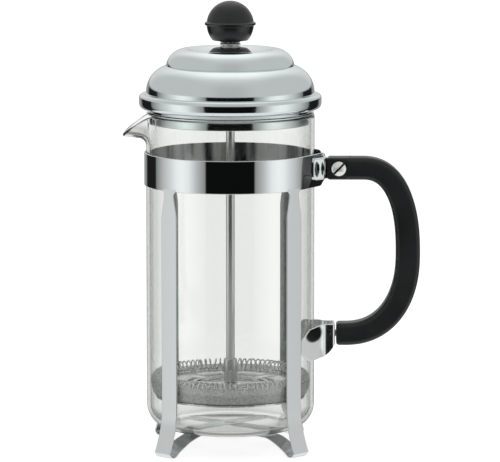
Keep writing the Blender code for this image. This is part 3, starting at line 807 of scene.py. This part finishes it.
def build_screw(name, node, head_r, head_high, shank_length, matrix, slot_turn):
    """A slotted pan-head screw: its head stands on z = 0 of the matrix, its shank goes down."""
    rim = 0.35 * head_high
    slot_half = 0.6
    outline = [(0.0, -shank_length), (1.5, -shank_length), (1.9, -shank_length + 0.5), (1.9, 0.0),
               (head_r, 0.0)]
    for i in range(13):
        radius = head_r * (1.0 - i / 12.0)
        outline.append((radius, rim + (head_high - rim) * (1.0 - (radius / head_r) ** 2)))
    bm = turned_bmesh(outline, SMALL_STEPS)
    screw = finish_mesh(name, bm, SCREW)
    slot = box_bmesh((-head_r - 1.0, -slot_half, rim - 0.1), (head_r + 1.0, slot_half, head_high + 1.0))
    bmesh.ops.rotate(slot, matrix=Matrix.Rotation(slot_turn, 3, "Z"), verts=slot.verts)
    cut_away(screw, [slot])
    soften(screw, 0.10, 40.0)
    # painted shade: the slot's walls and floor take the near-black steel
    screw.data.materials.append(SLOT_PAINTED_SHADE)
    across = Vector((-math.sin(slot_turn), math.cos(slot_turn), 0.0))
    for face in screw.data.polygons:
        if abs(face.center.dot(across)) < (slot_half + 0.02) * MM and face.center.z > (rim - 0.3) * MM:
            face.material_index = 1
    screw.data.transform(Matrix.Scale(MM, 4) @ matrix @ Matrix.Scale(1.0 / MM, 4))
    screw.location = AXIS
    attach(screw, "carafe")
    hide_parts(node)


def saddle_rows():
    """Plan of the folded bracket with the lower and upper edge at each point."""
    angle = math.radians(33.0)
    radius = SHEET_R + BAND_THICK / 2.0
    half = [(59.1, -3.0, 59.6, 71.7), (59.1, -6.2, 59.6, 71.7), (58.85, -6.85, 59.3, 71.7),
            (58.2, -7.15, 57.6, 71.7), (57.0, -7.2, 55.9, 71.7), (55.9, -7.2, 54.8, 71.7),
            (54.6, -7.35, 53.8, 71.7), (53.5, -7.75, 53.2, 71.7), (52.6, -8.5, 52.95, 71.7)]
    for reach, low, high in ((18.2, 52.8, 71.65), (15.5, 52.5, 71.3), (12.0, 52.3, 70.9),
                             (9.0, 52.3, 70.7), (7.0, 52.6, 70.2), (5.0, 53.6, 69.0),
                             (2.5, 55.0, 67.3), (0.0, 56.6, 65.9), (-1.6, 58.2, 64.6)):
        x, y = tangent_point(-angle, reach, radius)
        half.append((x + 0.15, y - 0.1, low, high))
    return [(x, -y, low, high) for x, y, low, high in reversed(half)] + half


def build_saddle():
    """The bracket at the handle's lower end. Its two wings lie beside the glass."""
    rows = smooth_path(saddle_rows(), 3)
    path = [(x, y) for x, y, low, high in rows]
    sections = standing_sections(path, [(high - low) / 2.0 for x, y, low, high in rows],
                                 [(high + low) / 2.0 for x, y, low, high in rows], 1.0)
    bm = bmesh.new()
    sweep_into(bm, sections)
    saddle = finish_mesh("saddle_chrome", bm, LEG_CHROME, "carafe", ["handle_saddle"])
    even_normals(saddle)
    saddle.data.materials.append(WING)
    for face in saddle.data.polygons:
        if abs(face.center.y) > 9.0 * MM and face.normal.x > 0.6:
            face.material_index = 1


def build_handle_fittings():
    build_screw("clamp_screw_head", "handle_clamp_screw", 4.1, 2.0, 11.5,
                along_y(SCREW_X, -HANDLE_HALF_DEPTH + 0.9, CLAMP_Z), math.radians(45.0))
    inward = Matrix.Translation((58.3, 0.0, HANDLE_LOW_Z)) @ Matrix.Rotation(math.radians(-90.0), 4, "Y")
    build_screw("saddle_screw_head", "saddle_screw", 3.9, 2.4, 14.0, inward, 0.0)


# ---------------------------------------------------------------- lid

def build_dome():
    sheet = 0.8
    rim = LID_RIM_R - 0.05
    crown, crown_r = (25.6, 217.6), 11.0
    bulge, bulge_reach, bulge_rise = (31.65, 204.3), 16.2, 15.5
    foot = [(47.9, 202.5), (49.2, 203.05), (50.5, 202.9), (51.4, 202.2), (rim, 201.1), (rim, 198.2),
            (51.6, 196.7), (50.9, 195.6), (50.1, 195.0), (49.4, 194.8)]
    outer = [(5.2, 225.4), (12.4, 225.5), (16.5, 226.3), (21.0, 227.6)]
    outer += arc(crown, crown_r, 99.0, 8.0, 22)
    outer += ellipse_arc(bulge, bulge_reach, bulge_rise, 73.0, -6.0, 24)
    outer += smooth_path(foot, 3)
    inner = [(5.2, 225.4 - sheet), (12.4, 225.5 - sheet), (21.0, 227.5 - sheet)]
    inner += arc(crown, crown_r - sheet, 97.0, 8.0, 14)
    inner += ellipse_arc(bulge, bulge_reach - sheet, bulge_rise - sheet, 70.0, -6.0, 14)
    inner += [(48.9, 202.2), (50.4, 201.7), (rim - sheet, 200.2), (rim - sheet, 197.5), (50.3, 195.8),
              (49.4, 195.4)]
    bm = turned_bmesh(outer + inner[::-1], FINE_STEPS)
    finish_mesh("dome_chrome", bm, LID_CHROME, "lid", ["lid_dome"], sharp=50.0)


def build_skirt():
    flange = BEAKER_TOP + 0.3
    outline = rounded([(SKIRT_R - 0.8, 186.5), (SKIRT_R, 186.5), (SKIRT_R, flange), (47.6, flange),
                       (47.6, flange + 0.8), (SKIRT_R, flange + 0.8), (SKIRT_R, 198.5),
                       (SKIRT_R - 0.8, 198.5)], 0.3)
    finish_mesh("skirt_chrome", turned_bmesh(outline, FINE_STEPS), LID_CHROME, "lid", ["lid_skirt"])


def build_lid_center():
    grommet = rounded([(4.9, 226.0), (12.3, 226.0), (11.6, 227.1), (9.6, 228.9), (4.9, 228.9)], 0.5)
    finish_mesh("grommet_black", turned_bmesh(grommet, STEPS), RUBBER, "lid", ["lid_grommet"])
    bush = [(2.85, 219.7), (4.5, 219.7), (4.5, 229.2)]
    for low in (229.2, 230.9):
        bush += [(5.6, low)] + arc((5.4, low + 0.5), 0.55, -60.0, 60.0, 5) + [(4.5, low + 1.05)]
        bush += [(4.5, low + 1.5)]
    bush = bush[:-1] + [(2.85, 232.0)]
    finish_mesh("bush_steel", turned_bmesh(bush, STEPS), TURNED, "lid", ["rod_bushing"])


# ---------------------------------------------------------------- plunger

def build_knob():
    low = math.degrees(math.asin(-(KNOB_Z - 233.4) / KNOB_R))
    ridge = 0.75
    middle = KNOB_Z + 0.4
    outline = [(4.2, 232.4), (5.6, 232.4), (5.9, 232.7), (5.9, 233.1), (6.4, 233.4)]
    outline += arc((0.0, KNOB_Z), KNOB_R, low, -4.0, 18)
    outline += [(13.5, middle - 1.0), (KNOB_RIDGE_R - 0.3, middle - ridge),
                (KNOB_RIDGE_R, middle - ridge + 0.3), (KNOB_RIDGE_R, middle + ridge - 0.3),
                (KNOB_RIDGE_R - 0.3, middle + ridge), (13.5, middle + 1.0)]
    outline += arc((0.0, KNOB_Z), KNOB_R, 7.5, 88.0, 28)
    outline += [(0.0, KNOB_TOP), (0.0, 244.5), (4.2, 244.5)]
    finish_mesh("knob_ball", turned_bmesh(outline, STEPS), KNOB_BLACK, "plunger", ["knob"])


def build_rod():
    rod = [(0.0, 29.7), (2.0, 29.7), (2.5, 30.3), (2.5, 30.6), (2.5, 31.2), (2.5, 136.0), (2.5, 241.4),
           (2.5, 242.0), (2.5, 242.6), (2.1, 243.0), (0.0, 243.0)]
    finish_mesh("rod_steel", turned_bmesh(rod, SMALL_STEPS), DRAWN, "plunger", ["plunger_rod"])
    collar = rounded([(2.85, 37.2), (3.7, 37.2), (3.7, 50.8), (2.85, 50.8)], 0.35)
    finish_mesh("collar_steel", turned_bmesh(collar, SMALL_STEPS), PLATE, "plunger", ["rod_collar"])


def build_coil():
    """The wire coil round the plate's edge: a helix bent into a ring, its turns slightly uneven."""
    turns = 92
    per_turn = 14
    wire_r = 0.45
    tube = COIL_TUBE_R - wire_r
    total = turns * per_turn
    curve = bpy.data.curves.new("edge_coil_wire", "CURVE")
    curve.dimensions = "3D"
    curve.bevel_depth = wire_r * MM
    curve.bevel_resolution = 1
    curve.use_fill_caps = True
    spline = curve.splines.new("POLY")
    spline.points.add(total - 1)
    for i in range(total):
        around = 2.0 * math.pi * i / total
        twist = 2.0 * math.pi * i / per_turn
        sway = 0.012 * math.sin(around * 17.0) + 0.008 * math.sin(around * 41.0 + 1.0)
        squeeze = 1.0 - 0.05 * (0.5 + 0.5 * math.sin(around * 29.0))
        radius = COIL_R + tube * math.cos(twist)
        height = COIL_Z + tube * squeeze * math.sin(twist)
        angle = around + sway * math.sin(twist)
        spline.points[i].co = (radius * math.cos(angle) * MM, radius * math.sin(angle) * MM, height * MM, 1.0)
    spline.use_cyclic_u = True
    curve.materials.append(WIRE)
    coil = bpy.data.objects.new("edge_coil_wire", curve)
    bpy.context.collection.objects.link(coil)
    coil.location = AXIS
    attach(coil, "plunger")
    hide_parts("edge_coil")


def build_spiral_plate():
    """The slotted plate that carries the coil."""
    outline = rounded([(2.85, 36.1), (42.3, 36.1), (42.3, 36.9), (2.85, 36.9)], 0.3)
    plate = finish_mesh("plate_steel", turned_bmesh(outline, STEPS), PLATE, "plunger", ["spiral_plate"])
    slots = bmesh.new()
    for inner, outer, count, span in ((12.5, 15.0, 4, 44.0), (18.0, 20.5, 8, 26.0), (23.5, 26.0, 8, 30.0)):
        for k in range(count):
            middle = 2.0 * math.pi * (k + 0.5) / count
            rings = []
            for i in range(7):
                angle = middle + math.radians(span) * (i / 6.0 - 0.5)
                rings.append([slots.verts.new((r * math.cos(angle), r * math.sin(angle), z))
                              for r, z in ((inner, 30.0), (outer, 30.0), (outer, 45.0), (inner, 45.0))])
            for first, second in zip(rings, rings[1:]):
                join_rings(slots, first, second)
            slots.faces.new(rings[0])
            slots.faces.new(rings[-1])
    cut_away(plate, [slots])


def build_screen():
    """The woven screen: a shallow dish with its edge turned up outside the coil."""
    under = smooth_path([(2.85, 35.3), (20.0, 35.3), (28.5, 35.2), (38.0, 31.4), (41.6, 31.1), (43.6, 31.9),
                         (44.9, 34.8), (45.4, 38.0), (45.45, 39.9)], 4)
    over = smooth_path([(45.1, 39.9), (45.0, 38.2), (44.5, 35.1), (43.3, 32.5), (41.5, 31.6), (38.1, 31.9),
                        (28.6, 35.7), (20.0, 35.8), (2.85, 35.8)], 4)
    screen = finish_mesh("screen_weave", turned_bmesh(under + over, FINE_STEPS), WEAVE, "plunger",
                         ["mesh_screen"])
    # painted light: the screen's inner faces take the paler steel
    paint_inside(screen, WEAVE_PAINTED_LIGHT)


def keep_cad_pieces():
    """CAD nodes whose shape is right get their finish."""
    finishes = {"base_rivet": TURNED, "handle_clamp_nut": TURNED, "bushing_nut": TURNED,
                "knob_insert": BRASS, "cross_plate": PLATE, "filter_nut": TURNED}
    for name, material in finishes.items():
        mesh = NODES[name].data
        mesh.materials.clear()
        mesh.materials.append(material)


# ---------------------------------------------------------------- studio

def grey(value):
    return value, value, value, 1.0


def world_ramp(tree, factor, stops):
    """A grey ramp over a 0 to 1 factor."""
    node = tree.nodes.new("ShaderNodeValToRGB")
    elements = node.color_ramp.elements
    while len(elements) > 1:
        elements.remove(elements[-1])
    elements[0].position = stops[0][0]
    elements[0].color = grey(stops[0][1])
    for position, value in stops[1:]:
        element = elements.new(position)
        element.color = grey(value)
    tree.links.new(factor, node.inputs["Fac"])
    return node.outputs["Color"]


def world_mix(tree, factor, first, second):
    node = tree.nodes.new("ShaderNodeMix")
    node.data_type = "RGBA"
    tree.links.new(factor, node.inputs[0])
    for index, value in ((6, first), (7, second)):
        if isinstance(value, tuple):
            node.inputs[index].default_value = value
        else:
            tree.links.new(value, node.inputs[index])
    return node.outputs[2]


def world_step(tree, value, start, end):
    """A factor that goes from 0 to 1 while a value goes from start to end."""
    node = tree.nodes.new("ShaderNodeMapRange")
    node.inputs["From Min"].default_value = start
    node.inputs["From Max"].default_value = end
    tree.links.new(value, node.inputs["Value"])
    return node.outputs["Result"]


def world_walls(tree, path, x, y, z):
    """Brightness by the angle from the photo's side: a dark front, a soft lamp, a dark gap, the back.

    The chrome mirrors all of it. Rays through the glass see a paler room, so that the beaker stays clear.
    """
    turn = tree_math(tree, "ARCTAN2", x, tree_math(tree, "MULTIPLY", y, -1.0))
    turn = tree_math(tree, "DIVIDE", tree_math(tree, "ABSOLUTE", turn), math.pi)

    def wall(stops):
        return world_ramp(tree, turn, [(angle / 180.0, value) for angle, value in stops])

    front = [(0.0, 0.004), (32.0, 0.004), (34.0, 0.27), (45.0, 0.50), (57.0, 0.83), (67.0, 0.93),
             (76.0, 0.88), (88.0, 0.67), (99.0, 0.52), (110.0, 0.33), (117.0, 0.20), (119.0, 0.012),
             (146.0, 0.012)]
    side = [(angle, max(value, 0.12) if angle > 110.0 else value) for angle, value in front]
    open_front = [(0.0, 0.90), (67.0, 0.93), (76.0, 0.88)]
    open_side = [(angle, max(value, 0.60)) for angle, value in front if angle > 80.0]
    back = [(152.0, 0.80), (162.0, 1.0)]
    mirrored = wall(front + [(154.0, 0.30), (180.0, 0.42)])
    mirrored_inside = wall(side + back)
    straight = wall(open_front + open_side + back)
    seen_through = world_mix(tree, path.outputs["Glossy Depth"], straight, mirrored_inside)
    lower = world_step(tree, z, -0.19, -0.30)
    behind = world_step(tree, turn, 150.0 / 180.0, 162.0 / 180.0)
    behind.node.inputs["To Max"].default_value = 0.38
    tree.links.new(behind, lower.node.inputs["To Max"])
    seen_through = world_mix(tree, lower, seen_through, grey(0.0))
    return world_mix(tree, path.outputs["Is Transmission Ray"], mirrored, seen_through)


def build_studio():
    """The room that the pieces mirror: walls, a ceiling that is brightest behind the jug, and a pale table."""
    world = bpy.data.worlds.new("studio")
    bpy.context.scene.world = world
    world.use_nodes = True
    tree = world.node_tree
    coords = tree.nodes.new("ShaderNodeTexCoord")
    split = tree.nodes.new("ShaderNodeSeparateXYZ")
    tree.links.new(coords.outputs["Generated"], split.inputs["Vector"])
    x, y, z = split.outputs["X"], split.outputs["Y"], split.outputs["Z"]
    path = tree.nodes.new("ShaderNodeLightPath")
    through_glass = path.outputs["Is Transmission Ray"]

    depth = tree_math(tree, "MULTIPLY_ADD", y, 0.5, 0.5)
    ceiling = world_ramp(tree, depth, [(0.0, 0.47), (0.15, 0.49), (0.32, 0.58), (0.45, 0.68), (0.56, 0.88),
                                       (0.70, 1.05), (0.86, 0.98), (0.96, 0.76), (1.0, 0.66)])
    aside = world_step(tree, tree_math(tree, "ABSOLUTE", x), 0.12, 0.62)
    aside.node.interpolation_type = "SMOOTHSTEP"
    ceiling = world_mix(tree, aside, ceiling, grey(0.55))
    color = world_mix(tree, world_step(tree, z, 0.03, 0.08), world_walls(tree, path, x, y, z), ceiling)
    steep = world_step(tree, z, -0.78, -0.88)
    under = world_mix(tree, steep, (0.22, 0.22, 0.215, 1.0), (0.75, 0.75, 0.74, 1.0))
    table = world_mix(tree, through_glass, grey(0.80), under)
    color = world_mix(tree, world_step(tree, z, -0.48, -0.54), color, table)

    color = world_mix(tree, path.outputs["Is Diffuse Ray"], color, grey(1.1))
    color = world_mix(tree, path.outputs["Is Camera Ray"], color, grey(1.0))
    background = tree.nodes["Background"]
    tree.links.new(color, background.inputs["Color"])
    background.inputs["Strength"].default_value = 1.0


def build_floor():
    bm = bmesh.new()
    bmesh.ops.create_grid(bm, x_segments=1, y_segments=1, size=8000.0)
    n = Nodes("pale_floor")
    n.set(Roughness=0.9, Specular_IOR_Level=0.1)
    n.set(Emission_Color=grey(1.0), Emission_Strength=0.82)
    n.wire(Base_Color=n.tint(n.noise(3.0), (0.28, 0.28, 0.28), (0.29, 0.29, 0.29)))
    floor = finish_mesh("floor", bm, n.material)
    floor.visible_glossy = False
    floor.visible_transmission = False


def build_key_light():
    lamp = bpy.data.lights.new("key", "AREA")
    lamp.shape = "RECTANGLE"
    lamp.size = 1.4
    lamp.size_y = 1.4
    lamp.energy = 4.0
    key = bpy.data.objects.new("key", lamp)
    bpy.context.collection.objects.link(key)
    key.location = AXIS + Vector((-0.9, -0.9, 1.8))
    aim = AXIS + Vector((0.0, 0.0, 0.1))
    key.rotation_euler = (aim - key.location).to_track_quat("-Z", "Y").to_euler()
    key.visible_glossy = False


def build_camera():
    """The photo's viewpoint: two and a quarter metres in front of the jug, looking down a little."""
    data = bpy.data.cameras.new("camera")
    data.sensor_width = 36.0
    data.lens = 286.3
    data.clip_end = 50.0
    camera = bpy.data.objects.new("camera", data)
    bpy.context.collection.objects.link(camera)
    camera.location = AXIS + Vector((11.2, -2246.5, 430.4)) * MM
    camera.rotation_euler = (math.radians(90.0 - CAMERA_DOWN), 0.0, 0.0)
    bpy.context.scene.camera = camera
    bpy.context.scene.view_settings.view_transform = "Standard"


# ---------------------------------------------------------------- everything

build_camera()
build_studio()
build_floor()
build_key_light()
build_beaker()
build_clamp_frame()
build_handle()
build_handle_fittings()
build_saddle()
build_dome()
build_skirt()
build_lid_center()
build_knob()
build_rod()
build_coil()
build_spiral_plate()
build_screen()
keep_cad_pieces()
